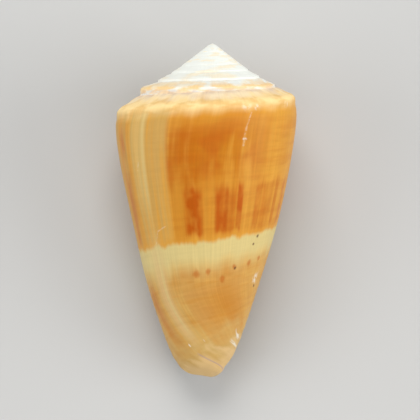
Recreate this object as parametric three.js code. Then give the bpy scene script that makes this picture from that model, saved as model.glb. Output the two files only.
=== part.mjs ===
// An empty shell of a cone snail, lying on its aperture with the spire raised.
// Millimetres, +Z up, +Y towards the spire, +X to the right as seen from above.
//
// The shell is one sheet that winds round its coiling axis. A point of the outer skin is given by the
// turn angle and by a place s along the generating profile: s = 0 at the suture, 3 where the next whorl
// is attached, and 10 at the anterior end. The skin folds over at the lip and runs back as the inner wall
// of the last whorl, and the skin of the whorl before is the other wall of the aperture.
import * as THREE from 'three';

// driving dimensions
const SHELL_LENGTH = 48.8; // apex to the lip's anterior end, along the coiling axis
const LIP_RADIUS = 14.33; // shoulder at the lip, from the coiling axis
const WHORL_GROWTH = 1.333; // radius gained in one whorl
const WHORLS = 12;
const SPIRE_SLOPE = 0.8; // depth below the apex for each unit of shoulder radius
const APEX_ROUNDING = 0.3;
const SPIRE_SAGS = [
  { share: 0.125, at: 1.4, width: 1.8 }, // of the depth; whorls before the lip
  { share: 0.09, at: 0.85, width: 0.6 },
];
const RAMP_SHARES = [0.35, 0.8]; // control points on the ramp, of the way from suture to shoulder
const SHOULDER_CREST = 0.01; // height of the shoulder's crest, in radii
const SHOULDER_BULGE = 1.005;
const SHOULDER_STEP = { old: 0.01, late: 0.12 }; // shoulder left showing above a suture, in radii
const STEP_RISE = { from: -1, to: -0.4 }; // turns between which the step grows

// body whorl: control points below the shoulder, at the lip; the first lies nearer on a smaller whorl
const SIDE_DEPTH = [0.08, 0.24, 0.43, 0.62, 0.8, 0.94, 1]; // of the way from shoulder to anterior end
const SIDE_RADIUS = [0.982, 0.917, 0.793, 0.703, 0.534, 0.419, 0.231]; // of the lip radius
const SIDE_GROWTH = [1, 0.99, 0.99, 1.47, 1.47, 1.75, 1.75]; // of the growth at the shoulder
const COLUMELLA_CORE = 0.5;
const EARLY = { below: 0.25, fully: 0.1 }; // shoulder, of the lip radius, where the side keeps its proportion
const END_RETREAT = 1.44; // the anterior end was this much shorter a whorl before
const END_SHARE = [0, 0, 0, 0, 0.3, 0.7, 1]; // of that retreat, at each control point
const COLUMELLA_TIP = { recess: 0.57, age: 1.4 }; // behind the lip's end; whorls before it retreats

// growth lines, and so the lip: how far each lags, in radians, at a place along the profile
const RAMP_NOTCH = 0.12;
const END_SWEEP = { lag: 0.04, from: 5, power: 1.6 };
const END_HOOK = { lag: 2, from: 9, power: 1.5 };

// wall and aperture
const LIP_WALL = 0.55;
const FULL_WALL = 1.25;
const WALL_BUILD_UP = 0.6; // radians behind the lip
const APERTURE_DEPTH = 1.1; // whorls
const WALL_SHARE = [1, 1, 1, 1, 0.9, 0.7, 0.6]; // of the wall's thickness, down the side
const END_FLOOR = 0.5; // thickness at the anterior end
const CANAL_SHARE = 0.4; // of the room between two whorls that stays open where it is narrow

// how the shell lies: the turn angle counts from the right side over the back, so the lip is 50 degrees
// below the left side; the axis is pitched until the shell stands on the lip's edge and its belly
const LIP_ANGLE = THREE.MathUtils.degToRad(230);
const REST_ROLL = THREE.MathUtils.degToRad(2.7);
const REST_PITCH = THREE.MathUtils.degToRad(11);

// facets
const COLUMNS = 36; // in one whorl
const RAMP_ROWS = [0, 0.9, 1.6, 2.1, 2.5, 3];
const SIDE_ROWS = [3.5, 4, 4.5, 5, 5.5, 6, 6.5, 7, 7.5, 8, 8.5, 9, 9.35, 9.6, 9.8, 10];
const INNER_ROWS = 18;
const APERTURE_TOP = 3.5; // places along the profile where the aperture begins and ends
const APERTURE_END = 9.8;

const TURN = 2 * Math.PI;
const SUTURE = 3;
const CORNER_SHARE = 0.5; // second control point of the inner wall, between its first and its corner
const INNER_SPANS = 8;
const INNER_SHOULDER = 1.6; // place of the shoulder along the inner profile
const ROWS = [...RAMP_ROWS, ...SIDE_ROWS];
const SUTURE_ROW = ROWS.indexOf(SUTURE);
const TOP_ROW = ROWS.indexOf(APERTURE_TOP);
const END_ROW = ROWS.indexOf(APERTURE_END);
const LAST_ROW = ROWS.length - 1;
const LAST_COLUMN = WHORLS * COLUMNS;
const POCKET_COLUMNS = Math.round(APERTURE_DEPTH * COLUMNS);

const { lerp, smoothstep } = THREE.MathUtils;

// a bump of height 1 round a place counted in whorls
function bump(whorls, place) {
  const reach = (whorls - place.at) / place.width;
  return Math.exp(-reach * reach);
}

// the shoulder's distance from the axis and depth below the apex, at one turn angle
function shoulder(angle) {
  const whorls = (LIP_ANGLE - angle) / TURN;
  const radius = LIP_RADIUS * WHORL_GROWTH ** -whorls;
  const raised = SPIRE_SAGS.reduce((left, sag) => left - sag.share * bump(whorls, sag), 1);
  const depth = SPIRE_SLOPE * (Math.hypot(radius, APEX_ROUNDING) - APEX_ROUNDING) * raised;
  return { radius, depth };
}

// subtracts inner growth from a radius and runs out smoothly to nothing at the columella
function shrink(radius, loss) {
  const left = radius - loss;
  return (left + Math.sqrt(left * left + 4 * COLUMELLA_CORE * radius)) / 2;
}

// uniform cubic B-spline weights of the control points, clamped at both ends
function weights(s, count) {
  const knots = [0, 0, 0];
  for (let k = 0; k <= count - 3; k += 1) {
    knots.push(k);
  }
  knots.push(count - 3, count - 3, count - 3);
  const at = Math.min(s, count - 3 - 1e-9);
  let level = knots.slice(1).map((knot, k) => (at >= knots[k] && at < knot ? 1 : 0));
  for (let degree = 1; degree <= 3; degree += 1) {
    level = level.slice(1).map((_, k) => {
      const rise = knots[k + degree] - knots[k];
      const fall = knots[k + degree + 1] - knots[k + 1];
      const left = rise > 0 ? ((at - knots[k]) / rise) * level[k] : 0;
      const right = fall > 0 ? ((knots[k + degree + 1] - at) / fall) * level[k + 1] : 0;
      return left + right;
    });
  }
  return level;
}

function blend(points, s) {
  const share = weights(s, points.length);
  const sum = new THREE.Vector2();
  points.forEach((point, k) => {
    if (share[k] > 0) {
      sum.addScaledVector(point, share[k]);
    }
  });
  return sum;
}

// control points from the shoulder down, as (radius, depth), after three empty places for the ramp's
function sideControls(angle) {
  const { radius, depth } = shoulder(angle);
  const height = SHELL_LENGTH - depth;
  const whorls = Math.max(LIP_ANGLE - angle, 0) / TURN;
  const late = smoothstep(angle / TURN, STEP_RISE.from, STEP_RISE.to);
  const step = lerp(SHOULDER_STEP.old, SHOULDER_STEP.late, late);
  const early = 1 - smoothstep(radius / LIP_RADIUS, EARLY.fully, EARLY.below);
  const points = [null, null, null];
  points.push(new THREE.Vector2(radius, depth - SHOULDER_CREST * radius));
  points.push(new THREE.Vector2(SHOULDER_BULGE * radius, depth + (step - SHOULDER_CREST) * radius));
  SIDE_DEPTH.forEach((share, k) => {
    const loss = (LIP_RADIUS - radius) * SIDE_GROWTH[k];
    const side = lerp(shrink(LIP_RADIUS * SIDE_RADIUS[k], loss), radius * SIDE_RADIUS[k], early);
    const fall = height * share * (k === 0 ? radius / LIP_RADIUS : 1);
    const retreat = END_RETREAT * END_SHARE[k] * whorls;
    points.push(new THREE.Vector2(side, depth + fall - retreat));
  });
  const tipRetreat = END_RETREAT * Math.max(whorls - COLUMELLA_TIP.age, 0);
  points.push(new THREE.Vector2(0, SHELL_LENGTH - COLUMELLA_TIP.recess - tipRetreat));
  return points;
}

// the place on a whorl where the next one is attached
function attachment(points) {
  const share = weights(SUTURE, points.length);
  const joint = new THREE.Vector2();
  points.slice(SUTURE).forEach((point, k) => joint.addScaledVector(point, share[k + SUTURE]));
  return joint;
}

// a point of the generating profile at one turn angle, as (radius, depth)
function profile(angle, s) {
  const points = sideControls(angle);
  const suture = attachment(sideControls(angle - TURN));
  points[0] = suture;
  RAMP_SHARES.forEach((share, k) => {
    points[k + 1] = suture.clone().lerp(points[SUTURE], share);
  });
  return blend(points, s);
}

// lag of a growth line: a shallow notch on the ramp, then a long sweep that ends in a hook
function lag(s) {
  const notch = s < SUTURE ? RAMP_NOTCH * Math.sin((Math.PI * s) / SUTURE) ** 2 : 0;
  const sweep = END_SWEEP.lag * Math.max(s - END_SWEEP.from, 0) ** END_SWEEP.power;
  const hook = END_HOOK.lag * Math.max(s - END_HOOK.from, 0) ** END_HOOK.power;
  return notch + sweep + hook;
}

// radius and depth below the apex, carried round the axis to a turn angle
function place(angle, { x: radius, y: depth }) {
  return new THREE.Vector3(radius * Math.cos(angle), -depth, radius * Math.sin(angle));
}

function columnAngle(column) {
  return LIP_ANGLE - (TURN * column) / COLUMNS;
}

// a point of the outer skin; along the first whorl the ramp widens from nothing
function outerPoint(column, row) {
  const first = Math.max(column / COLUMNS - WHORLS + 1, 0);
  const s = lerp(ROWS[row], Math.max(ROWS[row], SUTURE), first);
  const angle = columnAngle(column) - lag(s);
  return place(angle, profile(angle, s));
}

// the inner wall's generating profile: the outer one moved in by the wall's thickness, with both ends on
// the skin of the whorl before
function innerProfile(angle, wall, s) {
  const side = sideControls(angle).slice(SUTURE);
  const before = sideControls(angle - TURN).slice(SUTURE);
  const top = profile(angle - TURN, APERTURE_TOP);
  const end = profile(angle - TURN, APERTURE_END);
  const corner = side[0].clone().add(new THREE.Vector2(-wall, wall));
  const points = [top, top.clone().lerp(corner, CORNER_SHARE), corner];
  WALL_SHARE.forEach((share, k) => {
    const outside = side[k + 2];
    const narrowest = lerp(before[k + 2].x, outside.x, CANAL_SHARE);
    points.push(new THREE.Vector2(Math.max(outside.x - wall * share, narrowest), outside.y));
  });
  points[points.length - 1].y -= END_FLOOR;
  points.push(end);
  return blend(points, s);
}

function innerPoint(column, row) {
  const s = (row / INNER_ROWS) * INNER_SPANS;
  const onRamp = s < INNER_SHOULDER;
  const outerPlace = onRamp
    ? (s / INNER_SHOULDER) * SUTURE
    : lerp(SUTURE, APERTURE_END, (s - INNER_SHOULDER) / (INNER_SPANS - INNER_SHOULDER));
  const angle = columnAngle(column) - lag(outerPlace);
  const behind = (TURN * column) / COLUMNS / WALL_BUILD_UP;
  const wall = lerp(FULL_WALL, LIP_WALL, Math.exp(-behind));
  return place(angle, innerProfile(angle, wall, s));
}

// the closed surface, as shared points and triangles
class Skin {
  constructor() {
    this.points = [];
    this.known = new Map();
    this.faces = [];
  }

  vertex(key, make) {
    if (!this.known.has(key)) {
      this.known.set(key, this.points.length);
      this.points.push(make());
    }
    return this.known.get(key);
  }

  triangle(a, b, c) {
    if (a !== b && b !== c && a !== c) {
      this.faces.push(a, b, c);
    }
  }

  // faces between two chains of points that run the same way; their counts may differ
  strip(first, second) {
    const reach = (chain) => {
      const run = [0];
      for (let k = 1; k < chain.length; k += 1) {
        run.push(run[k - 1] + this.points[chain[k]].distanceTo(this.points[chain[k - 1]]));
      }
      return run.map((distance) => distance / run[run.length - 1]);
    };
    const a = reach(first);
    const b = reach(second);
    let i = 0;
    let j = 0;
    while (i < first.length - 1 || j < second.length - 1) {
      const nextA = i < first.length - 1 ? a[i + 1] : Infinity;
      const nextB = j < second.length - 1 ? b[j + 1] : Infinity;
      if (nextA <= nextB) {
        this.triangle(first[i], first[i + 1], second[j]);
        i += 1;
      } else {
        this.triangle(first[i], second[j + 1], second[j]);
        j += 1;
      }
    }
  }

  // faces between two chains with the same count
  ladder(first, second) {
    for (let k = 0; k < first.length - 1; k += 1) {
      this.triangle(first[k], first[k + 1], second[k + 1]);
      this.triangle(first[k], second[k + 1], second[k]);
    }
  }
}

function span(from, to, make) {
  const chain = [];
  for (let k = from; k <= to; k += 1) {
    chain.push(make(k));
  }
  return chain;
}

function shellGeometry() {
  const skin = new Skin();
  const pole = () => new THREE.Vector3(0, COLUMELLA_TIP.recess - SHELL_LENGTH, 0);

  const outer = (column, row) => {
    if (row === LAST_ROW) {
      return skin.vertex('pole', pole);
    }
    if (row === 0 && column + COLUMNS <= LAST_COLUMN) {
      return outer(column + COLUMNS, SUTURE_ROW);
    }
    if (column === LAST_COLUMN) {
      return skin.vertex('start', () => outerPoint(column, SUTURE_ROW));
    }
    return skin.vertex(`outer ${column} ${row}`, () => outerPoint(column, row));
  };
  const outerChain = (column, from, to) => span(from, to, (row) => outer(column, row));

  const inner = (column, row) => {
    if (row === 0) {
      return outer(column + COLUMNS, TOP_ROW);
    }
    if (row === INNER_ROWS) {
      return outer(column + COLUMNS, END_ROW);
    }
    return skin.vertex(`inner ${column} ${row}`, () => innerPoint(column, row));
  };
  const innerChain = (column, from, to) => span(from, to, (row) => inner(column, row));

  // outer skin: the whole side on the last whorl, and only the ramp on the spire
  for (let column = 0; column < LAST_COLUMN; column += 1) {
    const to = column < COLUMNS ? LAST_ROW : SUTURE_ROW;
    skin.ladder(outerChain(column, 0, to), outerChain(column + 1, 0, to));
  }

  // the two walls of the aperture
  for (let column = 0; column < POCKET_COLUMNS; column += 1) {
    const deep = column + COLUMNS;
    skin.ladder(outerChain(deep, TOP_ROW, END_ROW), outerChain(deep + 1, TOP_ROW, END_ROW));
    skin.ladder(innerChain(column + 1, 0, INNER_ROWS), innerChain(column, 0, INNER_ROWS));
  }
  const deepest = outerChain(COLUMNS + POCKET_COLUMNS, TOP_ROW, END_ROW);
  skin.strip(deepest, innerChain(POCKET_COLUMNS, 0, INNER_ROWS));

  // the lip's edge
  const rim = [
    ...outerChain(COLUMNS, SUTURE_ROW, TOP_ROW),
    ...innerChain(0, 1, INNER_ROWS - 1),
    ...outerChain(COLUMNS, END_ROW, LAST_ROW),
  ];
  skin.strip(rim, outerChain(0, 0, LAST_ROW));

  // the apex: a small fan over the first whorl
  const crown = skin.vertex('crown', () => new THREE.Vector3(0, 0, 0));
  for (let column = LAST_COLUMN - COLUMNS; column < LAST_COLUMN; column += 1) {
    skin.triangle(crown, outer(column, 0), outer(column + 1, 0));
  }

  const geometry = new THREE.BufferGeometry();
  geometry.setAttribute(
    'position',
    new THREE.Float32BufferAttribute(skin.points.flatMap((point) => point.toArray()), 3),
  );
  geometry.setIndex(skin.faces);
  return geometry;
}

// turns the shell into its rest position and stands it on the ground, centred
function lay(geometry) {
  geometry.rotateY(REST_ROLL);
  geometry.rotateX(REST_PITCH);
  geometry.computeBoundingBox();
  const { min, max } = geometry.boundingBox;
  geometry.translate(-(min.x + max.x) / 2, -(min.y + max.y) / 2, -min.z);
  geometry.computeVertexNormals();
  return geometry;
}

const porcelain = new THREE.MeshStandardMaterial({ color: '#d89a55', roughness: 0.32, metalness: 0 });
const shell = new THREE.Mesh(lay(shellGeometry()), porcelain);
shell.name = 'shell';

const coneShell = new THREE.Group();
coneShell.add(shell);

export default coneShell;
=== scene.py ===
"""Builds the finished look of an empty cone shell, lying on its aperture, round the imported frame."""
import math

import bpy
import numpy as np
from bpy.props import FloatProperty, FloatVectorProperty, IntProperty, PointerProperty
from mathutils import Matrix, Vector


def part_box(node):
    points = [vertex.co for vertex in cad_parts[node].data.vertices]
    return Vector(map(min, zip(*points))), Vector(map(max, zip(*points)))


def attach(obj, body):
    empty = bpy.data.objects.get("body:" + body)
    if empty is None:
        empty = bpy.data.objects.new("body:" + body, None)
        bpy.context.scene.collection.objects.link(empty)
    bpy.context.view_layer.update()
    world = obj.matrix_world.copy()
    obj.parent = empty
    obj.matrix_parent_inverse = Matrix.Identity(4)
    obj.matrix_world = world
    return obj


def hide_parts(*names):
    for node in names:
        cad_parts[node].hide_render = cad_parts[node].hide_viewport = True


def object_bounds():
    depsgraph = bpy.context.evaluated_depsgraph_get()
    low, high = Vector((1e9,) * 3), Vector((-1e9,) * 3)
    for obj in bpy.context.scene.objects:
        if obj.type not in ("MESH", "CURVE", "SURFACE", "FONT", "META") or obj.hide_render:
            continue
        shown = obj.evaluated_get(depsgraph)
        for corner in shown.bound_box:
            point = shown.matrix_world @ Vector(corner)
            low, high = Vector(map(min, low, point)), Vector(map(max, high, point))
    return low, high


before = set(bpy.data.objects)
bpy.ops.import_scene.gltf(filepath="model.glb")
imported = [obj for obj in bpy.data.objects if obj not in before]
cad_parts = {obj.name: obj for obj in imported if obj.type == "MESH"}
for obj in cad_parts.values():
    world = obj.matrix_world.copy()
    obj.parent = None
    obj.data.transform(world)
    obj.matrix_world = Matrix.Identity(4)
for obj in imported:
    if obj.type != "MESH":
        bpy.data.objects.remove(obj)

bl_info = {
    "name": "Cone Shell",
    "version": (1, 0, 0),
    "blender": (4, 5, 0),
    "location": "3D View > Sidebar > Cone Shell",
    "description": "Grows a cone shell along its spiral and sets it on a pale floor",
    "category": "Add Mesh",
}

TURN = 2 * math.pi
MM = 0.001
CAD_BOX = [list(corner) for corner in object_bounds()]

# places along the generating profile, which starts on the whorl before
SUTURE = 3.0  # where the next whorl is attached
APERTURE_TOP = 3.5
APERTURE_END = 9.8
PROFILE_END = 10.0  # the anterior end

# places along the inner wall's profile
INNER_SHOULDER = 1.6
INNER_END = 8.0


# ------- sizes and colours

class ConeShellShape(bpy.types.PropertyGroup):
    """Sizes of the shell, and how it lies"""

    length: FloatProperty(
        name="Length", description="Apex to the anterior end of the lip, along the coiling axis",
        default=48.8 * MM, unit="LENGTH",
    )
    lip_radius: FloatProperty(
        name="Lip radius", description="Shoulder at the lip, from the coiling axis",
        default=14.33 * MM, unit="LENGTH",
    )
    growth: FloatProperty(
        name="Whorl growth", description="Factor by which the radius grows in one whorl",
        default=1.333, min=1.05,
    )
    whorls: IntProperty(name="Whorls", description="Whorls from apex to lip", default=12, min=3)
    spire_slope: FloatProperty(
        name="Spire slope", description="Depth below the apex for each unit of shoulder radius",
        default=0.8,
    )
    apex_rounding: FloatProperty(
        name="Apex rounding", description="Radius over which the apex is blunt",
        default=0.3 * MM, unit="LENGTH",
    )
    columella: FloatProperty(
        name="Columella", description="How softly the side of an older whorl runs out to the core",
        default=0.5 * MM, unit="LENGTH",
    )
    end_retreat: FloatProperty(
        name="End retreat", description="How much shorter the anterior end was a whorl before",
        default=1.44 * MM, unit="LENGTH",
    )
    lip_wall: FloatProperty(
        name="Lip wall", description="Wall thickness at the lip", default=0.55 * MM, unit="LENGTH",
    )
    full_wall: FloatProperty(
        name="Full wall", description="Wall thickness well behind the lip",
        default=1.25 * MM, unit="LENGTH",
    )
    lip_angle: FloatProperty(
        name="Lip angle", description="Turn angle of the lip, counted from the right side over the back",
        default=math.radians(230), unit="ROTATION",
    )
    roll: FloatProperty(
        name="Rest roll", description="Turn about the coiling axis at rest",
        default=math.radians(2.7), unit="ROTATION",
    )
    pitch: FloatProperty(
        name="Rest pitch", description="How far the spire end is raised at rest",
        default=math.radians(11), unit="ROTATION",
    )
    ridge: FloatProperty(
        name="Growth ridges", description="Height of the ridges along the growth lines",
        default=0.05 * MM, unit="LENGTH",
    )
    worn_apex: FloatProperty(
        name="Worn apex", description="Radius within which the apex is worn to a smooth dome",
        default=2.4 * MM, unit="LENGTH",
    )
    columns: IntProperty(name="Columns", description="Facets round one whorl", default=270, min=24)


def colour(name, description, red, green, blue):
    """A colour that a user can change."""
    return FloatVectorProperty(
        name=name, description=description, default=(red, green, blue), subtype="COLOR", min=0, max=1,
    )


class ConeShellColours(bpy.types.PropertyGroup):
    """Colours of the shell and the floor"""

    orange: colour("Orange", "Ground colour of the body whorl", 0.52, 0.175, 0.006)
    amber: colour("Amber", "Lighter streaks in the ground colour", 0.68, 0.32, 0.04)
    honey: colour("Honey", "Young shell behind the lip", 0.58, 0.34, 0.085)
    flame: colour("Flame", "Flames above the pale band", 0.46, 0.09, 0.001)
    russet: colour("Russet", "Brown growth streaks behind the lip", 0.53, 0.17, 0.03)
    cream: colour("Cream", "Band at the middle and the pale growth stripes", 0.66, 0.54, 0.23)
    oat: colour("Oat", "Pale growth stripe below the band, and the very end", 0.70, 0.47, 0.21)
    sand: colour("Sand", "Anterior end", 0.60, 0.40, 0.14)
    straw: colour("Straw", "Last ramp of the spire, and yellowed places above it", 0.94, 0.70, 0.33)
    # lilac stains the anterior end, and along the later sutures it is painted shade in the suture creases
    lilac: colour("Lilac", "Stains along the sutures and at the anterior end", 0.50, 0.33, 0.28)
    # chalk also marks the worn places and scratches; on the shoulder's edge one such place is partly a
    # painted highlight
    chalk: colour("Chalk", "Worn spire", 0.84, 0.86, 0.80)
    blush: colour("Blush", "Patches on the ramps before the last", 0.90, 0.57, 0.21)
    porcelain: colour("Porcelain", "Inside of the aperture, and the crust on the last ramp", 0.86, 0.78, 0.66)
    umber: colour("Umber", "Pinpricks", 0.12, 0.05, 0.02)
    floor: colour("Floor", "Floor under the shell", 0.52, 0.52, 0.51)


GROUPS = (ConeShellShape, ConeShellColours)


# ------- shape of the shell

# control points of the side, from the shoulder down: depth as a share of the way to the anterior end,
# radius as a share of the lip radius, growth as a share of the growth at the shoulder, and the share of
# the end's retreat
SIDE_DEPTH = (0.08, 0.24, 0.43, 0.62, 0.8, 0.94, 1.0)
SIDE_RADIUS = (0.982, 0.917, 0.793, 0.703, 0.534, 0.419, 0.231)
SIDE_GROWTH = (1.0, 0.99, 0.99, 1.47, 1.47, 1.75, 1.75)
SIDE_RETREAT = (0.0, 0.0, 0.0, 0.0, 0.3, 0.7, 1.0)
CONTROLS = 13  # of the whole profile: three on the ramp, two at the shoulder, the side's and the tip

RAMP_SHARES = (0.35, 0.8)  # second and third control point, of the way from the suture to the shoulder
SPIRE_LIFTS = ((1.4, 1.8, 0.125), (0.85, 0.6, 0.09))  # whorls behind the lip, width, and share of the depth
CREST = 0.01  # height of the shoulder's crest, in radii
BULGE = 1.005  # radius just below the crest, in radii
OLD_STEP, LATE_STEP = 0.01, 0.12  # shoulder left showing above a suture, in radii
STEP_RISE = (-TURN, -0.4 * TURN)  # turn angles between which the step grows
EARLY = (0.25, 0.1)  # shoulder, of the lip radius, between which the side comes to keep its proportion
TIP_RECESS = 0.57 * MM  # end of the columella behind the end of the lip
TIP_AGE = 1.4  # whorls; only on older ones is the columella's end shorter

# the wall and the aperture
POCKET = 1.1  # depth of the aperture, in whorls
WALL_SHARE = (1.0, 1.0, 1.0, 1.0, 0.9, 0.7, 0.6)  # of the wall's thickness, down the side
WALL_BUILD_UP = 0.6  # turn angle behind the lip in which the wall gets most of its thickness
CANAL_SHARE = 0.4  # of the room between two whorls that stays open where they come close
END_FLOOR = 0.5 * MM  # thickness left at the anterior end

RAMP_NOTCH = 0.12  # lag of the lip on the ramp, in radians
# bends of the lip in radians by place along the profile, and of a growth line in whorls by depth in
# millimetres: each has the value past which the line lags, the rate and the power
LIP_BENDS = ((5, 0.04, 1.6), (9, 2, 1.5))
LINE_BENDS = ((38, 0.00175, 1.8), (47.5, 0.03, 1.5))
LINE_LEAD = (10, 4.5, 0.016)  # depth at which the line starts to lead, reach of the rise, and whorls
GREATEST_LAG, GREATEST_LEAD = 1.5, 0.02  # in whorls; the age is looked for between them
HALVINGS = 30


def smooth(value, low, high):
    """Goes from 0 at low to 1 at high along the cubic 3t^2 - 2t^3; low may be the greater one."""
    t = np.clip((value - low) / (high - low), 0, 1)
    return t * t * (3 - 2 * t)


def bump(value, centre, width):
    """A bell of height 1: e to the power of minus the squared distance in widths."""
    return np.exp(-(((value - centre) / width) ** 2))


def weights(s, count):
    """Weights of count control points at s on a uniform cubic B-spline clamped at both ends, by the
    usual recursion: each degree blends two neighbours of the degree below."""
    last = count - 3
    knots = np.concatenate([[0, 0, 0], np.arange(last + 1), [last, last, last]]).astype(float)
    at = np.minimum(np.asarray(s, float), last - 1e-9)[..., None]
    level = ((at >= knots[:-1]) & (at < knots[1:])).astype(float)
    for degree in (1, 2, 3):
        rise = knots[degree:-1] - knots[:-degree - 1]
        fall = knots[degree + 1:] - knots[1:-degree]
        left = np.where(rise > 0, (at - knots[:-degree - 1]) / np.where(rise > 0, rise, 1), 0)
        right = np.where(fall > 0, (knots[degree + 1:] - at) / np.where(fall > 0, fall, 1), 0)
        level = left * level[..., :-1] + right * level[..., 1:]
    return level


def cone_depth(shape, radius):
    """Depth below the apex of the cone through the shoulders: the slope times the radius, rounded at the
    apex as a hyperbola is."""
    return shape.spire_slope * (np.hypot(radius, shape.apex_rounding) - shape.apex_rounding)


def shoulder(shape, angle):
    """Shoulder radius and depth at a turn angle: the radius grows by the same factor each whorl, and the
    depth is the cone's, lessened by two bells over the last whorls."""
    whorls = (shape.lip_angle - angle) / TURN
    radius = shape.lip_radius * shape.growth ** -whorls
    raised = 1 - sum(share * bump(whorls, at, width) for at, width, share in SPIRE_LIFTS)
    return radius, cone_depth(shape, radius) * raised


def side_controls(shape, angle):
    """Control points from the shoulder down, as radius and depth stacked on the last axis. Each radius is
    that of the lip less the growth since, run out smoothly to nothing at the columella; on the first
    whorls it keeps its proportion to the shoulder instead."""
    radius, depth = shoulder(shape, angle)
    whorls = np.maximum(shape.lip_angle - angle, 0) / TURN
    step = OLD_STEP + (LATE_STEP - OLD_STEP) * smooth(angle, *STEP_RISE)
    early = smooth(radius / shape.lip_radius, *EARLY)
    rows = [(radius, depth - CREST * radius), (BULGE * radius, depth + (step - CREST) * radius)]
    falls = [SIDE_DEPTH[0] * radius / shape.lip_radius, *SIDE_DEPTH[1:]]
    for fall, share, growth, retreat in zip(falls, SIDE_RADIUS, SIDE_GROWTH, SIDE_RETREAT):
        full = shape.lip_radius * share
        left = full - (shape.lip_radius - radius) * growth
        side = (left + np.sqrt(left * left + 4 * shape.columella * full)) / 2
        side = side + (share * radius - side) * early
        rows.append((side, depth + (shape.length - depth) * fall - shape.end_retreat * retreat * whorls))
    tip = shape.length - TIP_RECESS - shape.end_retreat * np.maximum(whorls - TIP_AGE, 0)
    rows.append((0 * radius, tip))
    return np.stack([np.stack(row, -1) for row in rows], -2)


def attachment(shape, angle):
    """The place on a whorl where the next one is attached; the ramp's controls have no weight there."""
    share = weights(SUTURE, CONTROLS)[3:]
    return np.einsum("k,...kc->...c", share, side_controls(shape, angle))


def profile(shape, angle, s):
    """The generating profile at a turn angle: a B-spline from the suture on the whorl before, over the
    ramp and shoulder, and down the side to the anterior end."""
    side = side_controls(shape, angle)
    start = attachment(shape, angle - TURN)
    reach = side[..., 0, :] - start
    ramp = np.stack([start, *(start + share * reach for share in RAMP_SHARES)], -2)
    points = np.concatenate([ramp, side], -2)
    return np.einsum("...k,...kc->...c", weights(s, CONTROLS), points)


def inner_profile(shape, angle, wall, s):
    """The inner wall's profile: the outer controls moved in by the wall, and both ends on the skin of the
    whorl before. Where the whorls come close, a share of the room stays open."""
    side = side_controls(shape, angle)
    before = side_controls(shape, angle - TURN)
    top = profile(shape, angle - TURN, np.full(angle.shape, APERTURE_TOP))
    end = profile(shape, angle - TURN, np.full(angle.shape, APERTURE_END))
    corner = side[..., 0, :] + np.stack([-wall, wall], -1)
    points = [top, (top + corner) / 2, corner]
    for k, share in enumerate(WALL_SHARE, start=2):
        control = side[..., k, :].copy()
        narrowest = before[..., k, 0] * (1 - CANAL_SHARE) + control[..., 0] * CANAL_SHARE
        control[..., 0] = np.maximum(control[..., 0] - wall * share, narrowest)
        points.append(control)
    points[-1][..., 1] -= END_FLOOR
    points.append(end)
    return np.einsum("...k,...kc->...c", weights(s, len(points)), np.stack(points, -2))


def bend(value, bends):
    """Sum over the bends of the rate times a power of how far the value is past the start."""
    return sum(rate * np.maximum(value - start, 0) ** power for start, rate, power in bends)


def lip_lag(s):
    """How far the lip lags behind a straight line: a shallow notch on the ramp, shaped as a squared sine,
    and a sweep and a hook back towards the anterior end."""
    notch = np.where(s < SUTURE, RAMP_NOTCH * np.sin(math.pi * s / SUTURE) ** 2, 0)
    return notch + bend(s, LIP_BENDS)


def place(angle, outline):
    """Turns radius and depth at an angle into a point: right, towards the spire, and up."""
    radius, depth = outline[..., 0], outline[..., 1]
    return np.stack([radius * np.cos(angle), -depth, radius * np.sin(angle)], -1)


def growth_lag(depth):
    """Lag of a growth line, in whorls, by millimetres below the apex at the lip's own scale: it comes to
    lead a little down the side, by 1 less a falling exponential, then lags by a power of the depth, and
    hooks back at the anterior end."""
    start, reach, lead = LINE_LEAD
    return bend(depth, LINE_BENDS) - lead * (1 - np.exp(-np.maximum(depth - start, 0) / reach))


def growth_age(shape, angle, depth):
    """Age in whorls of the growth line through a point: the root of age + lag = whorls back to the lip,
    where the lag is taken at the depth scaled up by the growth since. Found by halving."""
    back = (shape.lip_angle - angle) / TURN
    low, high = back - GREATEST_LAG, back + GREATEST_LEAD
    for _ in range(HALVINGS):
        middle = (low + high) / 2
        scaled = depth / MM * shape.growth ** np.maximum(middle, 0)
        late = middle + growth_lag(scaled) > back
        low, high = np.where(late, low, middle), np.where(late, middle, high)
    return (low + high) / 2


# ------- the mesh

def spaced(stretches):
    """Places along the profile, from (end, count) stretches that follow each other from 0."""
    places, start = [np.zeros(1)], 0.0
    for end, count in stretches:
        places.append(np.linspace(start, end, count + 1)[1:])
        start = end
    return np.concatenate(places)


# end and count of each stretch of rows: four on the ramp, the shoulder, the side, the canal and the end
OUTER_ROWS = spaced(
    (
        (0.3, 2), (0.9, 2), (2.4, 5), (SUTURE, 3), (APERTURE_TOP, 5), (9, 150), (APERTURE_END, 20),
        (PROFILE_END, 5),
    ),
)
INNER_ROWS = spaced(((INNER_END, 60),))
EDGE_COLUMNS = 12  # behind the lip, as narrow inside as outside
DEEP_COLUMNS = 60  # from there to the end of the aperture
WALL_STRIDE = 3  # rows of the outer skin between two rows of the wall inside the aperture
PORCELAIN_FADE = 0.06  # whorls inside the aperture over which the skin turns to porcelain


def row_at(place_on_profile):
    """The row nearest to a place along the profile."""
    return int(np.argmin(np.abs(OUTER_ROWS - place_on_profile)))


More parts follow.
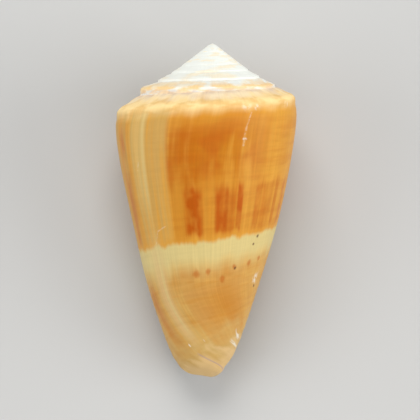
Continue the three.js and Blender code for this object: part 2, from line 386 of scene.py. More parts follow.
class Skin:
    """Points and faces of the shell, kept as tables of corners. A corner is a place in a column and row;
    several corners may share one point, as along a suture."""

    def __init__(self):
        self.points = np.zeros((0, 3))
        self.point_of = np.zeros(0, int)
        self.values = np.zeros((0, 4))
        self.faces = []

    def add_points(self, points):
        """Adds the points and returns their numbers."""
        first = len(self.points)
        self.points = np.concatenate([self.points, points])
        return first + np.arange(len(points))

    def add_corners(self, table, values):
        """Adds a table of point numbers and the age, depth, insideness and profile place of each corner, and
        returns the table of corner numbers."""
        first = len(self.point_of)
        self.point_of = np.concatenate([self.point_of, table.ravel()])
        self.values = np.concatenate([self.values, values.reshape(-1, values.shape[-1])])
        return first + np.arange(table.size).reshape(table.shape)

    def ladder(self, first, second):
        """Two triangles between each pair of neighbours on chains that run the same way."""
        a, b, c, d = first[..., :-1], first[..., 1:], second[..., 1:], second[..., :-1]
        self.faces.append(np.stack([a, b, c], -1).reshape(-1, 3))
        self.faces.append(np.stack([a, c, d], -1).reshape(-1, 3))

    def strip(self, first, second):
        """Triangles between two chains of different counts: the steps of both are sorted by how far along
        its chain each one ends, and each step makes a triangle with the other chain's last point."""
        def reach(chain):
            points = self.points[self.point_of[chain]]
            run = np.cumsum(np.linalg.norm(np.diff(points, axis=0), axis=1))
            return run / run[-1]
        ends = np.concatenate([reach(first), reach(second)])
        is_first = np.arange(len(ends)) < len(first) - 1
        order = np.lexsort((~is_first, ends))
        is_first = is_first[order]
        on_first = np.cumsum(is_first)
        on_second = np.cumsum(~is_first)
        step_first = np.stack([first[on_first - 1], first[on_first], second[on_second]], -1)
        step_second = np.stack([first[on_first], second[on_second], second[on_second - 1]], -1)
        self.faces.append(np.where(is_first[:, None], step_first, step_second))

    def triangles(self):
        """All faces that have three different points."""
        faces = np.concatenate(self.faces)
        points = self.point_of[faces]
        whole = (points != np.roll(points, 1, axis=1)).all(axis=1)
        return faces[whole]


def outer_skin(shape, skin):
    """Adds the outer skin: the whole side on the last whorl, and only the ramps on the spire. Returns its
    corners by column and row, which include those of the whorl that walls the aperture."""
    whorl, last = shape.columns, shape.whorls * shape.columns
    suture, last_row = row_at(SUTURE), len(OUTER_ROWS) - 1
    column = np.arange(last + 1)[:, None]
    row = np.arange(last_row + 1)[None, :]
    first = np.maximum(column / whorl - shape.whorls + 1, 0)
    s = OUTER_ROWS + (np.maximum(OUTER_ROWS, SUTURE) - OUTER_ROWS) * first
    angle = shape.lip_angle - TURN * column / whorl - lip_lag(s)
    on_wall = (column <= (1 + POCKET) * whorl) & (row >= row_at(APERTURE_TOP)) & (row <= row_at(APERTURE_END))
    known = (row <= suture) | (column <= whorl) | on_wall

    outline = profile(shape, angle[known], s[known])
    table = np.zeros(angle.shape, int)
    table[known] = skin.add_points(place(angle[known], outline))
    # the first ramp starts from one point, each suture is shared, and the anterior end meets in one point
    table[-1, :suture + 1] = table[-1, suture]
    table[:-whorl, 0] = table[whorl:, suture]
    table[:whorl + 1, last_row] = table[0, last_row]

    values = np.zeros(angle.shape + (4,))
    age = growth_age(shape, angle[known], outline[:, 1])
    deep = smooth(column, whorl, (1 + PORCELAIN_FADE) * whorl) * (row > suture)
    values[known] = np.stack([age, outline[:, 1] * shape.growth ** age / MM, deep[known], s[known]], -1)
    outer = skin.add_corners(table, values)
    skin.ladder(outer[:whorl], outer[1:whorl + 1])
    skin.ladder(outer[whorl:-1, :suture + 1], outer[whorl + 1:, :suture + 1])

    # the apex closes over the first whorl, in a fan
    edge = outer[-whorl - 1:, 0]
    crown = np.full(edge.shape, skin.add_points(np.zeros((1, 3))))
    skin.ladder(edge, skin.add_corners(crown, skin.values[edge] * (1, 0, 0, 1)))
    return outer


def inner_skin(shape, skin, outer):
    """Adds the two walls of the aperture, the inner face of the last whorl and the side of the whorl
    before, with the end between them and the edge of the lip. Behind the lip the columns are wider."""
    whorl = shape.columns
    suture, top, end = row_at(SUTURE), row_at(APERTURE_TOP), row_at(APERTURE_END)
    deep = np.linspace(EDGE_COLUMNS, POCKET * whorl, DEEP_COLUMNS).astype(int)
    column = np.concatenate([np.arange(EDGE_COLUMNS), deep])[:, None]
    on_ramp = INNER_ROWS / INNER_SHOULDER * SUTURE
    on_side = SUTURE + (APERTURE_END - SUTURE) * (INNER_ROWS - INNER_SHOULDER) / (INNER_END - INNER_SHOULDER)
    lag = lip_lag(np.where(INNER_ROWS < INNER_SHOULDER, on_ramp, on_side))
    angle = shape.lip_angle - TURN * column / whorl - lag
    thin = np.exp(-TURN * column / whorl / WALL_BUILD_UP) * np.ones(len(INNER_ROWS))
    wall = shape.full_wall + (shape.lip_wall - shape.full_wall) * thin
    outline = inner_profile(shape, angle, wall, np.broadcast_to(INNER_ROWS, angle.shape))
    table = skin.add_points(place(angle, outline).reshape(-1, 3)).reshape(angle.shape)
    table[:, 0] = skin.point_of[outer[whorl + column[:, 0], top]]
    table[:, -1] = skin.point_of[outer[whorl + column[:, 0], end]]
    age = (shape.lip_angle - angle) / TURN
    inner = skin.add_corners(table, np.stack([age, outline[..., 1] / MM, 0 * age + 1, 0 * age + SUTURE], -1))
    skin.ladder(inner[1:], inner[:-1])

    rows = np.unique(np.append(np.arange(top, end, WALL_STRIDE), end))
    wall = outer[whorl + column, rows]
    skin.strip(outer[whorl, top:end + 1], wall[1])
    skin.ladder(wall[1:-1], wall[2:])
    skin.strip(wall[-1], inner[-1])
    rim = np.concatenate([outer[whorl, suture:top], inner[0, :-1], outer[whorl, end:]])
    skin.strip(rim, outer[0])


# ------- relief

LINE_CELLS = 4096  # random heights before the line repeats
GRID_CELLS = 256  # and before the surface does, each way
CORD_SPACING = 1.15  # millimetres from one spiral cord to the next
GROOVE_SPACING = 1.1  # places along the profile from one groove of the ramp to the next
HEALED_BREAKS = ((0.262, 0.004, 1), (0.235, 0.003, 0.6))  # age and half width in whorls, and share of depth
APEX_WEAR = 0.9  # share of the way to the smooth cone
WORN_HEIGHT = 4  # worn radii below the apex; what lies near the axis further down isn't worn


def wander(position, seed):
    """A smooth random line between -1 and 1: random heights at the whole numbers, joined by the cubic."""
    heights = np.random.default_rng(seed).uniform(-1, 1, LINE_CELLS)
    cell = np.floor(position).astype(int)
    t = smooth(position - cell, 0, 1)
    return heights[cell % LINE_CELLS] * (1 - t) + heights[(cell + 1) % LINE_CELLS] * t


def drift(across, down, seed):
    """A smooth random surface between -1 and 1: random heights on a square grid, joined by the cubic."""
    heights = np.random.default_rng(seed).uniform(-1, 1, (GRID_CELLS, GRID_CELLS))
    i, j = np.floor(across).astype(int), np.floor(down).astype(int)
    a, b = smooth(across - i, 0, 1), smooth(down - j, 0, 1)
    left, right = i % GRID_CELLS, (i + 1) % GRID_CELLS
    above, below = j % GRID_CELLS, (j + 1) % GRID_CELLS
    near = heights[left, above] * (1 - a) + heights[right, above] * a
    far = heights[left, below] * (1 - a) + heights[right, below] * a
    return near * (1 - b) + far * b


def relief(shape, age, depth, place):
    """Height over the smooth skin, in proportion to the whorl's size. Along the growth lines run ridges,
    uneven in strength, and two healed breaks; round the lower body run low cords; on the ramps run
    grooves, and a crust lies along each suture; the crest of the shoulder is slightly nicked, and the
    anterior end is worn uneven."""
    side = smooth(place, 3, 4)
    strength = 0.6 + 0.4 * drift(age * 9, depth / 7, 3)
    ridges = wander(age * 64, 1) + 0.5 * wander(age * 150 + depth / 9, 2)
    swell = drift(age * 12, depth / 11, 4)
    cords = np.sin(TURN * depth / CORD_SPACING + 2 * drift(age * 8, depth / 5, 5)) * smooth(depth, 30, 38)
    breaks = sum(share * bump(age, at, width) for at, width, share in HEALED_BREAKS)
    breaks = breaks * smooth(depth, 44, 34)
    height = side * shape.ridge * (0.5 * strength * ridges + 1.2 * swell + 0.35 * cords - 1.2 * breaks)
    grooves = np.cos(TURN * place / GROOVE_SPACING) * smooth(place, 0.3, 0.8)
    crust = bump(place, 0.25, 0.3) * (0.5 + drift(age * 40, age * 13, 6))
    nicks = -bump(place, 3.2, 0.35) * smooth(drift(age * 70, age * 9, 7), 0.35, 0.9)
    on_ramp = 0.8 * grooves + 0.5 * wander(age * 90, 8) + 2.5 * crust
    chips = bump(place, 9.6, 0.5) * drift(age * 26, place * 2, 9)
    height = height + shape.ridge * ((1 - side) * on_ramp + 2 * nicks + 3 * chips)
    return height * shape.growth ** -np.maximum(age, 0)


def wear_apex(shape, points):
    """Moves the points near the axis most of the way to the smooth cone through the shoulders, fully
    within half the worn radius and fading to nothing at all of it."""
    radius = np.hypot(points[:, 0], points[:, 2])
    share = APEX_WEAR * smooth(radius, shape.worn_apex, 0.5 * shape.worn_apex)
    share = share * (points[:, 1] > -WORN_HEIGHT * shape.worn_apex)
    worn = points.copy()
    worn[:, 1] -= share * (points[:, 1] + cone_depth(shape, radius))
    return worn


def vertex_normals(points, triangles):
    """Unit normals: the sum of the face normals round each point, weighted by area."""
    a, b, c = (points[triangles[:, k]] for k in range(3))
    faces = np.cross(b - a, c - a)
    corners = triangles.T.ravel()
    total = np.stack([np.bincount(corners, np.tile(faces[:, k], 3), len(points)) for k in range(3)], -1)
    return total / np.maximum(np.linalg.norm(total, axis=1, keepdims=True), 1e-20)


def lay(shape, points):
    """Rolls the shell about its axis and pitches it, and stands it where the frame's shell stands."""
    roll, pitch = shape.roll, shape.pitch
    x, y, z = points.T
    x, z = x * math.cos(roll) + z * math.sin(roll), z * math.cos(roll) - x * math.sin(roll)
    y, z = y * math.cos(pitch) - z * math.sin(pitch), y * math.sin(pitch) + z * math.cos(pitch)
    laid = np.stack([x, y, z], -1)
    low, high = (np.array(corner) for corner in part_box("shell"))
    laid[:, :2] += ((low + high) / 2)[:2] - (laid.min(0) + laid.max(0))[:2] / 2
    laid[:, 2] += low[2] - laid[:, 2].min()
    return laid


def make_mesh(name, points, triangles):
    """A smooth-shaded mesh of triangles."""
    mesh = bpy.data.meshes.new(name)
    mesh.vertices.add(len(points))
    mesh.vertices.foreach_set("co", points.astype(np.float32).ravel())
    mesh.loops.add(triangles.size)
    mesh.loops.foreach_set("vertex_index", triangles.astype(np.int32).ravel())
    mesh.polygons.add(len(triangles))
    mesh.polygons.foreach_set("loop_start", np.arange(0, triangles.size, 3, dtype=np.int32))
    mesh.polygons.foreach_set("use_smooth", np.ones(len(triangles), bool))
    mesh.update()
    mesh.validate()
    return mesh


def build_shell(shape):
    """The closed skin with its relief, its growth map and the inside and place attributes."""
    skin = Skin()
    inner_skin(shape, skin, outer_skin(shape, skin))
    corners = skin.triangles()
    used, triangles = np.unique(skin.point_of[corners], return_inverse=True)
    triangles = triangles.reshape(-1, 3)
    points = skin.points[used]
    # a point that several corners share takes its relief from the first of them
    values = np.zeros((len(skin.points), 4))
    values[skin.point_of[::-1]] = skin.values[::-1]
    age, depth, inside, where = values[used].T
    height = relief(shape, age, depth, where) * (1 - inside)
    points = points + vertex_normals(points, triangles) * height[:, None]
    points = lay(shape, wear_apex(shape, points))

    mesh = make_mesh("shell_skin", points, triangles)
    corner_values = skin.values[corners.ravel()].astype(np.float32)
    growth = mesh.uv_layers.new(name="growth")
    growth.uv.foreach_set("vector", corner_values[:, :2].ravel())
    for name, column in (("inside", 2), ("place", 3)):
        attribute = mesh.attributes.new(name, "FLOAT", "CORNER")
        attribute.data.foreach_set("value", corner_values[:, column].copy())
    shell = bpy.data.objects.new("shell_skin", mesh)
    bpy.context.scene.collection.objects.link(shell)
    return shell


# ------- finishes

WHORL_RUN = 75  # millimetres round the last whorl, by which an age becomes a distance
SEED_STEP = 7.3  # distance in the noise from one seed to the next

# the finest relief, which is bump only
HAIR_HEIGHT = 0.018 * MM
THREAD_HEIGHT = 0.04 * MM
PIT_HEIGHT = 0.05 * MM
PITS_PER_METRE = 1400

# depths in millimetres, or ages in whorls, between which one part of the pattern gives way to the next
UPPER_END = (18.5, 23.5)
FLAME_TOP = (21.8, 24)
FLAME_FOOT = (29.6, 31.2)
BAND_TOP = (30.9, 31.8)
BAND_END = (33.4, 37.5)
LOWER_START = (33, 37)
SAND_START = (43.5, 49)
OAT_START = (47, 49.4)
YOUNG_START = (0.302, 0.314)
OLDER_START = (0.43, 0.55)

# ages and half widths in whorls
FLAMES = ((0.358, 0.026), (0.417, 0.02), (0.455, 0.009))
FAINT_FLAMES = ((0.438, 0.012), (0.5, 0.012), (0.525, 0.024), (0.555, 0.01), (0.59, 0.014))

# ages in whorls, depths and radii in millimetres
SPOTS = (
    (0.355, 36.3, 0.8), (0.387, 36.3, 0.6), (0.425, 37.9, 0.75), (0.456, 36.2, 0.5), (0.503, 36.2, 0.65),
    (0.541, 35.9, 0.6),
)
PINPRICKS = ((0.517, 31.9, 0.32), (0.507, 33.1, 0.26), (0.459, 36.5, 0.26), (0.542, 40.6, 0.3))
# the spot at 0.546 whorls and 10.1 millimetres, on the shoulder's edge, is partly a chip and partly a painted
# highlight
WORN_PLACES_AND_HIGHLIGHT = (
    (0.386, 48.3, 0.9), (0.43, 47.6, 1.0), (0.445, 10.0, 0.9), (0.466, 10.2, 0.6), (0.546, 10.1, 0.7),
    (0.451, 15.4, 0.35), (0.224, 46.2, 0.3), (0.288, 46.2, 0.3), (0.62, 10.9, 1.2), (0.545, 39.4, 1.1),
)

# age and depth of both ends, and half the width in millimetres
SCRATCHES = (
    (0.291, 28.3, 0.267, 29.0, 0.16), (0.267, 29.0, 0.258, 30.8, 0.12), (0.244, 18.2, 0.239, 19.4, 0.16),
    (0.457, 11.0, 0.452, 13.6, 0.18), (0.452, 13.6, 0.451, 16.4, 0.24),
)


class Finish:
    """A material in the making. Each method adds a node and gives back its output."""

    def __init__(self, name):
        self.material = bpy.data.materials.new(name)
        self.material.use_nodes = True
        self.tree = self.material.node_tree
        self.shader = self.tree.nodes["Principled BSDF"]

    def add(self, kind, inputs, output=0, **settings):
        """A node whose inputs are linked or set, and its settings."""
        node = self.tree.nodes.new(kind)
        for key, value in settings.items():
            setattr(node, key, value)
        for key, value in inputs.items():
            if isinstance(value, bpy.types.NodeSocket):
                self.tree.links.new(value, node.inputs[key])
            else:
                node.inputs[key].default_value = value
        return node.outputs[output]

    def calc(self, operation, *values, clamp=False):
        """One step of arithmetic; MULTIPLY_ADD is the first value times the second, plus the third."""
        return self.add("ShaderNodeMath", dict(enumerate(values)), operation=operation, use_clamp=clamp)

    def times(self, first, *others):
        for other in others:
            first = self.calc("MULTIPLY", first, other)
        return first

    def rise(self, value, low, high):
        """0 at low and 1 at high, smooth between; low may be the greater one."""
        inputs = {"Value": value, "From Min": low, "From Max": high}
        return self.add("ShaderNodeMapRange", inputs, interpolation_type="SMOOTHSTEP")

    def hump(self, value, centre, reach):
        """1 at the centre, falling smoothly to 0 at the reach on both sides."""
        return self.rise(self.calc("ABSOLUTE", self.calc("SUBTRACT", value, centre)), reach, 0)

    def blend(self, share, first, second):
        """From the first colour to the second; a plain colour is given as red, green and blue."""
        first, second = (
            tone if isinstance(tone, bpy.types.NodeSocket) else (*tone, 1) for tone in (first, second)
        )
        # the colour mix has its colours on sockets 6 and 7, and its result on 2
        return self.add("ShaderNodeMix", {0: share, 6: first, 7: second}, output=2, data_type="RGBA")


class GrowthFinish(Finish):
    """A finish that follows the growth of the shell: age in whorls along the spiral, depth in millimetres
    below the apex at the lip's own scale, and the place along the generating profile."""

    def __init__(self, name):
        super().__init__(name)
        growth = self.add("ShaderNodeUVMap", {}, uv_map="growth")
        self.age = self.add("ShaderNodeSeparateXYZ", {0: growth}, output="X")
        self.depth = self.add("ShaderNodeSeparateXYZ", {0: growth}, output="Y")
        self.inside = self.add("ShaderNodeAttribute", {}, output="Fac", attribute_name="inside")
        self.place = self.add("ShaderNodeAttribute", {}, output="Fac", attribute_name="place")

    def grain(self, per_whorl, per_mm, detail, seed):
        """Noise with so many features to a whorl and to a millimetre."""
        across = self.calc("MULTIPLY_ADD", self.age, per_whorl, SEED_STEP * seed)
        where = self.add("ShaderNodeCombineXYZ", {0: across, 1: self.times(self.depth, per_mm)})
        inputs = {"Vector": where, "Scale": 1, "Detail": detail}
        return self.add("ShaderNodeTexNoise", inputs, noise_dimensions="2D")

    def spots(self, places):
        """Soft uneven spots, each given by its age, depth and radius in millimetres."""
        total = 0.0
        uneven = self.calc("MULTIPLY_ADD", self.grain(60, 0.9, 2, 26), 1.2, 0.4)
        for age, depth, radius in places:
            across = self.calc("MULTIPLY_ADD", self.age, WHORL_RUN, -WHORL_RUN * age)
            down = self.calc("SUBTRACT", self.depth, depth)
            distance = self.calc("SQRT", self.calc("ADD", self.times(across, across), self.times(down, down)))
            distance = self.times(distance, uneven)
            total = self.calc("MAXIMUM", total, self.rise(distance, 1.15 * radius, 0.3 * radius))
        return total

    def scratches(self, lines):
        """Thin soft strokes, each given by the age and depth of both ends and half its width in millimetres:
        the distance is taken from the nearest place on the stroke."""
        where = self.add("ShaderNodeCombineXYZ", {0: self.times(self.age, WHORL_RUN), 1: self.depth})
        total = 0.0
        for start_age, start_depth, end_age, end_depth, reach in lines:
            start = (WHORL_RUN * start_age, start_depth, 0)
            along = (WHORL_RUN * (end_age - start_age), end_depth - start_depth, 0)
            offset = self.add("ShaderNodeVectorMath", {0: where, 1: start}, operation="SUBTRACT")
            product = self.add(
                "ShaderNodeVectorMath", {0: offset, 1: along}, output="Value", operation="DOT_PRODUCT",
            )
            share = self.calc("DIVIDE", product, along[0] ** 2 + along[1] ** 2, clamp=True)
            foot = self.add("ShaderNodeVectorMath", {0: along, "Scale": share}, operation="SCALE")
            distance = self.add(
                "ShaderNodeVectorMath", {0: offset, 1: foot}, output="Value", operation="DISTANCE",
            )
            total = self.calc("MAXIMUM", total, self.rise(distance, reach, 0.2 * reach))
        return total

    def bars(self, places):
        """Soft-edged bars along the growth lines, each given by its age and half its width in whorls."""
        total = 0.0
        for age, reach in places:
            distance = self.calc("ABSOLUTE", self.calc("SUBTRACT", self.age, age))
            total = self.calc("MAXIMUM", total, self.rise(distance, reach, 0.4 * reach))
        return total


def ground(paint, colours):
    """Streaks of orange and amber along the growth lines with faint dashes across them, darkly clouded in
    the upper third, lighter at the shoulder, below that third and on the older side, and paler honey in
    the young shell behind the lip."""
    age, depth = paint.age, paint.depth
    tone = paint.blend(paint.rise(paint.grain(34, 0.035, 3, 1), 0.48, 0.72), colours.orange, colours.amber)
    ragged = paint.calc("MULTIPLY_ADD", paint.grain(30, 0.1, 2, 2), 9, paint.calc("SUBTRACT", depth, 4.5))
    upper = paint.rise(ragged, *UPPER_END[::-1])
    dark = paint.rise(paint.grain(13, 0.16, 2, 4), 0.42, 0.62)
    dark = paint.calc("MAXIMUM", dark, paint.times(paint.hump(age, 0.345, 0.05), 0.7))
    dark = paint.times(dark, upper, paint.calc("MULTIPLY_ADD", paint.rise(age, 0.43, 0.53), -0.4, 0.55))
    tone = paint.blend(dark, tone, colours.flame)
    tone = paint.blend(paint.times(paint.rise(ragged, *UPPER_END), 0.45), tone, colours.amber)
    tone = paint.blend(paint.times(paint.rise(age, *OLDER_START), 0.8), tone, colours.amber)
    tone = paint.blend(paint.times(paint.rise(depth, 15, 10.5), 0.6), tone, colours.amber)
    dashes = paint.times(paint.rise(paint.grain(9, 0.7, 3, 28), 0.42, 0.7), paint.rise(depth, 10.5, 14), 0.22)
    tone = paint.blend(dashes, tone, colours.flame)

    soft = paint.rise(paint.grain(60, 0.04, 2, 5), 0.35, 0.65)
    young = paint.blend(paint.times(soft, 0.75), colours.honey, colours.amber)
    pale = paint.times(paint.hump(age, 0.243, 0.03), paint.rise(depth, 31, 21), 0.45)
    young = paint.blend(pale, young, colours.cream)
    return paint.blend(paint.times(paint.rise(age, *YOUNG_START[::-1]), 0.92), tone, young)


def flames(paint, colours, tone):
    """Dark flames along the growth lines, standing on the pale band: three strong ones, a few faint ones,
    and random ones on the older side."""
    age, depth = paint.age, paint.depth
    uneven = paint.calc("MULTIPLY_ADD", paint.grain(60, 0.02, 2, 6), 3.4, paint.calc("SUBTRACT", depth, 1.7))
    zone = paint.times(paint.rise(uneven, *FLAME_TOP), paint.rise(uneven, *FLAME_FOOT[::-1]))
    older = paint.times(paint.rise(paint.grain(24, 0.03, 3, 7), 0.46, 0.64), paint.rise(age, 0.6, 0.64), 0.85)
    strong, faint = paint.bars(FLAMES), paint.bars(FAINT_FLAMES)
    shares = paint.calc("MAXIMUM", paint.calc("MAXIMUM", strong, older), paint.times(faint, 0.55))
    uneven = paint.calc("MULTIPLY_ADD", paint.grain(42, 0.3, 2, 27), 1.6, 0.05, clamp=True)
    return paint.blend(paint.times(zone, shares, uneven), tone, colours.flame)


def anterior(paint, colours, tone):
    """Below the band: paler, clouded with orange at the middle and with russet near the lip, dashed with
    orange, and sandy and then pale at the end."""
    age, depth = paint.age, paint.depth
    lower = paint.rise(depth, *LOWER_START)
    tone = paint.blend(paint.times(lower, 0.5), tone, colours.sand)
    cloud = paint.times(paint.hump(age, 0.42, 0.13), paint.hump(depth, 42, 7), 0.6)
    mottle = paint.times(paint.rise(paint.grain(16, 0.16, 2, 9), 0.4, 0.7), lower, 0.35)
    tone = paint.blend(paint.calc("MAXIMUM", cloud, mottle), tone, colours.orange)
    dashes = paint.rise(paint.grain(13, 1.3, 2, 10), 0.5, 0.75)
    tone = paint.blend(paint.times(dashes, paint.rise(depth, 35, 38), 0.22), tone, colours.orange)
    edge = paint.times(paint.hump(age, 0.185, 0.04), paint.hump(depth, 41, 6.5), 0.6)
    tone = paint.blend(edge, tone, colours.russet)
    uneven = paint.calc("MULTIPLY_ADD", paint.grain(20, 0.5, 3, 11), 6, paint.calc("SUBTRACT", depth, 3))
    tone = paint.blend(paint.times(paint.rise(uneven, *SAND_START), 0.8), tone, colours.sand)
    return paint.blend(paint.times(paint.rise(uneven, *OAT_START), 0.9), tone, colours.oat)


def band(paint, colours, tone):
    """The pale band, sharp and ragged above with an amber fringe, and soft below."""
    ragged = paint.calc("MULTIPLY_ADD", paint.grain(38, 0.1, 3, 12), 1.8, -0.9)
    edge = paint.calc("ADD", paint.depth, ragged)
    fringe = paint.times(paint.rise(edge, 29.9, 31.1), paint.rise(edge, 36, 34), 0.6)
    tone = paint.blend(fringe, tone, colours.amber)
    pale = paint.times(paint.rise(edge, *BAND_TOP), paint.rise(edge, *BAND_END[::-1]), 0.92)
    return paint.blend(pale, tone, colours.cream)


def growth_stripes(paint, colours, tone):
    """Halts in growth: a pale line that fades just above the band, a broad pale stripe round it below,
    brown streaks nearer the lip, and a thin stain at the anterior end."""
    age, depth = paint.age, paint.depth
    soft = paint.calc("MULTIPLY_ADD", paint.grain(60, 0.04, 2, 5), 0.5, 0.25)
    fading = paint.calc("SUBTRACT", 1, paint.times(paint.hump(depth, 28, 6), 0.75))
    line = paint.times(paint.hump(age, 0.257, 0.008), paint.rise(depth, 46, 43), soft, fading)
    broad = paint.times(paint.hump(age, 0.25, 0.036), paint.rise(depth, 26, 38), paint.rise(depth, 48, 44))
    tone = paint.blend(paint.times(broad, 0.65), tone, colours.oat)
    tone = paint.blend(line, tone, colours.cream)
    streaks = paint.times(paint.hump(age, 0.196, 0.026), paint.rise(paint.grain(26, 0.14, 2, 13), 0.25, 0.6))
    streaks = paint.times(streaks, paint.rise(depth, 11.5, 15), paint.rise(depth, 31.5, 30), 0.8)
    tone = paint.blend(streaks, tone, colours.russet)
    stain = paint.times(paint.hump(age, 0.228, 0.008), paint.rise(depth, 47.3, 47.9), 0.75)
    return paint.blend(stain, tone, colours.lilac)


def marks(paint, colours, tone):
    """Spots below the band, with a random row of them on the older side, pinpricks, small worn places, one
    of them partly a painted highlight on the shoulder's edge, and scratches."""
    spots = paint.spots(SPOTS)
    row = paint.times(
        paint.rise(paint.grain(30, 0.5, 3, 14), 0.54, 0.66), paint.hump(paint.depth, 36, 1.5),
        paint.rise(paint.age, 0.58, 0.62),
    )
    tone = paint.blend(paint.times(paint.calc("MAXIMUM", spots, row), 0.55), tone, colours.flame)
    tone = paint.blend(paint.times(paint.spots(PINPRICKS), 0.85), tone, colours.umber)
    # chalk on the worn places; the one on the shoulder's edge is partly a painted highlight
    worn = paint.times(paint.spots(WORN_PLACES_AND_HIGHLIGHT), paint.rise(paint.grain(110, 1.1, 3, 15), 0.38, 0.56), 0.6)
    scratched = paint.rise(paint.grain(110, 1.8, 2, 25), 0.3, 0.65)
    scratches = paint.times(paint.scratches(SCRATCHES), scratched, 0.18)
    return paint.blend(paint.calc("MAXIMUM", worn, scratches), tone, colours.chalk)


def ramp_colour(paint, colours):
    """The ramps: straw with a white crust on the last, orange patches on those before, worn white to the
    apex, and lilac painted shade along the later sutures, in the creases where the ramps meet."""
    age, place = paint.age, paint.place
    warm = paint.rise(paint.grain(24, 0.7, 3, 16), 0.42, 0.7)
    last = paint.blend(paint.times(warm, 0.45), colours.straw, colours.amber)
    crust = paint.rise(paint.calc("MULTIPLY_ADD", paint.grain(34, 0.4, 2, 17), 1.6, place), 1.9, 0.7)
    last = paint.blend(paint.times(crust, 0.55), last, colours.porcelain)
    patches = paint.rise(paint.grain(20, 0.9, 3, 18), 0.34, 0.58)
    patches = paint.times(patches, paint.hump(place, 1.9, 3), paint.rise(age, 2.4, 1.5), 0.85)
    older = paint.blend(patches, colours.chalk, colours.blush)
    yellowed = paint.times(paint.rise(paint.grain(7, 0.4, 3, 19), 0.48, 0.7), 0.4)
    older = paint.blend(yellowed, older, colours.straw)
    tone = paint.blend(paint.rise(age, 0.9, 1.15), last, older)
    # painted shade along the later sutures, patchy: a lilac line at the foot of each ramp, and a fainter band
    # on the older whorl's ramp just above the suture
    suture_shade_patches = paint.rise(paint.grain(30, 0.5, 3, 20), 0.35, 0.65)
    above = paint.times(paint.rise(place, 2.1, 2.8), paint.rise(age, 0.95, 1.0), paint.rise(age, 2, 1.1))
    line = paint.times(paint.hump(place, 0, 0.35), paint.rise(age, 2.0, 0.3), 0.5)
    stain = paint.times(suture_shade_patches, paint.calc("MAXIMUM", line, paint.times(above, 0.45)))
    return paint.blend(stain, tone, colours.lilac)


def shell_finish(shape, colours):
    """Satin shell: body and ramp colours meet at the shoulder, with fine growth lines and threads that get
    finer towards the apex, and chalky pits on the ramps."""
    paint = GrowthFinish("shell_porcelain")
    body = ground(paint, colours)
    for layer in (flames, anterior, band, growth_stripes, marks):
        body = layer(paint, colours, body)
    rim = paint.calc("MULTIPLY_ADD", paint.grain(24, 0, 3, 21), 1.2, 1.6)
    on_side = paint.rise(paint.calc("SUBTRACT", paint.place, rim), -0.5, 1.1)
    last_whorl = paint.calc("MAXIMUM", paint.rise(paint.age, 1.08, 1.02), paint.rise(paint.place, 3, 3.2))
    on_side = paint.times(on_side, last_whorl)
    tone = paint.blend(on_side, ramp_colour(paint, colours), body)

    even = paint.rise(paint.depth, 47, 40)
    hair = paint.grain(210, 0.1, 3, 22)
    thread = paint.grain(12, 1.7, 3, 23)
    value = paint.calc("MULTIPLY_ADD", paint.times(paint.calc("SUBTRACT", hair, 0.5), even), 0.18, 1)
    value = paint.calc("MULTIPLY_ADD", paint.calc("SUBTRACT", thread, 0.5), 0.1, value)
    tone = paint.add("ShaderNodeHueSaturation", {"Value": value, "Color": tone})
    tone = paint.blend(paint.inside, tone, colours.porcelain)
    paint.tree.links.new(tone, paint.shader.inputs["Base Color"])

    outside = paint.calc("SUBTRACT", 1, paint.inside)
    chalky = paint.times(paint.calc("SUBTRACT", 1, on_side), outside)
    rough = paint.calc("MULTIPLY_ADD", paint.grain(30, 0.5, 2, 24), 0.16, 0.32)
    rough = paint.calc("MULTIPLY_ADD", chalky, 0.2, rough)
    paint.tree.links.new(rough, paint.shader.inputs["Roughness"])
    paint.shader.inputs["Specular IOR Level"].default_value = 0.12

    where = paint.add("ShaderNodeTexCoord", {}, output="Object")
    pits = paint.add("ShaderNodeTexNoise", {"Vector": where, "Scale": PITS_PER_METRE, "Detail": 3})
    scale = paint.times(paint.calc("POWER", 1 / shape.growth, paint.age), outside)
    threads = paint.times(thread, paint.rise(paint.depth, 20, 40), scale)
    height = paint.times(hair, even, scale, HAIR_HEIGHT)
    height = paint.calc("MULTIPLY_ADD", threads, THREAD_HEIGHT, height)
    height = paint.calc("MULTIPLY_ADD", paint.times(pits, chalky), PIT_HEIGHT, height)
    normal = paint.add("ShaderNodeBump", {"Strength": 1, "Distance": 1, "Height": height})
    paint.tree.links.new(normal, paint.shader.inputs["Normal"])
    return paint.material


# ------- operators

CAMERA_ELEVATION = math.radians(81.6)
CAMERA_DISTANCE = 0.503
CAMERA_LENS = 300
CAMERA_CLIP = 10
AIM_OFFSET = Vector((0.57 * MM, -0.36 * MM, 0))  # of the camera's aim from the middle of the shell
FLOOR_REACH = 1.5
FLOOR_ROUGHNESS = 0.9
WORLD_STRENGTH = 0.28
# size of each light, its power, and where it stands
LIGHTS = {
    "key": (0.5, 3.6, (-0.05, 0.5, 0.6)),
    "fill": (0.7, 1.8, (0.1, -0.4, 0.7)),
    "left": (0.5, 1.9, (-0.6, -0.1, 0.3)),
    "right": (0.5, 2.9, (0.6, -0.1, 0.3)),
}


def lay_floor(tone):
    """A square matt floor at height 0."""
    mesh = bpy.data.meshes.new("floor")
    corners = [(x * FLOOR_REACH, y * FLOOR_REACH, 0) for x, y in ((-1, -1), (1, -1), (1, 1), (-1, 1))]
    mesh.from_pydata(corners, [], [(0, 1, 2, 3)])
    floor = bpy.data.objects.new("floor", mesh)
    bpy.context.scene.collection.objects.link(floor)
    paint = Finish("floor_pale")
    paint.shader.inputs["Base Color"].default_value = (*tone, 1)
    paint.shader.inputs["Roughness"].default_value = FLOOR_ROUGHNESS
    mesh.materials.append(paint.material)


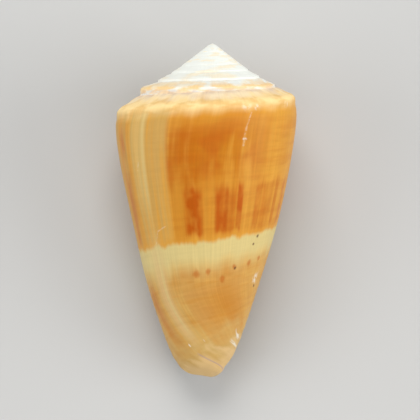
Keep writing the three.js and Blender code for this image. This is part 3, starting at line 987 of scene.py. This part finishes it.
def set_camera(aim):
    """A long lens that looks steeply down at the aim, from the anterior end's side."""
    data = bpy.data.cameras.new("camera")
    data.lens = CAMERA_LENS
    data.clip_end = CAMERA_CLIP
    camera = bpy.data.objects.new("camera", data)
    away = Vector((0, -math.cos(CAMERA_ELEVATION), math.sin(CAMERA_ELEVATION)))
    camera.location = aim + CAMERA_DISTANCE * away
    camera.rotation_euler = (math.radians(90) - CAMERA_ELEVATION, 0, 0)
    bpy.context.scene.collection.objects.link(camera)
    bpy.context.scene.camera = camera


def hang_lights(aim):
    """Square lights that face the aim."""
    for name, (size, power, where) in LIGHTS.items():
        data = bpy.data.lights.new(name, "AREA")
        data.size = size
        data.energy = power
        light = bpy.data.objects.new(name, data)
        light.location = where
        light.rotation_euler = (aim - Vector(where)).to_track_quat("-Z", "Y").to_euler()
        bpy.context.scene.collection.objects.link(light)


def set_world():
    """An even white surround."""
    world = bpy.data.worlds.new("studio")
    world.use_nodes = True
    world.node_tree.nodes["Background"].inputs["Color"].default_value = (1, 1, 1, 1)
    world.node_tree.nodes["Background"].inputs["Strength"].default_value = WORLD_STRENGTH
    bpy.context.scene.world = world


class CONE_SHELL_OT_grow(bpy.types.Operator):
    """Grow the shell's skin and give it its finish"""

    bl_idname = "cone_shell.grow"
    bl_label = "Grow Shell"

    def execute(self, context):
        shape, colours = context.scene.cone_shell_shape, context.scene.cone_shell_colours
        shell = build_shell(shape)
        shell.data.materials.append(shell_finish(shape, colours))
        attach(shell, "root")
        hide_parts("shell")
        return {"FINISHED"}


class CONE_SHELL_OT_stage(bpy.types.Operator):
    """Set out the floor, the lights and the camera"""

    bl_idname = "cone_shell.stage"
    bl_label = "Set Stage"

    def execute(self, context):
        scene = context.scene
        lay_floor(scene.cone_shell_colours.floor)
        low, high = (Vector(corner) for corner in CAD_BOX)
        aim = (low + high) / 2 + AIM_OFFSET
        set_camera(aim)
        hang_lights(aim)
        set_world()
        scene.view_settings.view_transform = "Standard"
        return {"FINISHED"}


class CONE_SHELL_PT_panel(bpy.types.Panel):
    """Lists the steps that build the shell"""

    bl_idname = "CONE_SHELL_PT_panel"
    bl_label = "Cone Shell"
    bl_space_type = "VIEW_3D"
    bl_region_type = "UI"
    bl_category = "Cone Shell"

    def draw(self, context):
        self.layout.operator(CONE_SHELL_OT_grow.bl_idname)
        self.layout.operator(CONE_SHELL_OT_stage.bl_idname)


CLASSES = GROUPS + (CONE_SHELL_OT_grow, CONE_SHELL_OT_stage, CONE_SHELL_PT_panel)


def register():
    for cls in CLASSES:
        bpy.utils.register_class(cls)
    bpy.types.Scene.cone_shell_shape = PointerProperty(type=ConeShellShape)
    bpy.types.Scene.cone_shell_colours = PointerProperty(type=ConeShellColours)


def unregister():
    del bpy.types.Scene.cone_shell_colours
    del bpy.types.Scene.cone_shell_shape
    for cls in reversed(CLASSES):
        bpy.utils.unregister_class(cls)


def main():
    register()
    bpy.ops.cone_shell.grow()
    bpy.ops.cone_shell.stage()


if __name__ == "__main__":
    main()
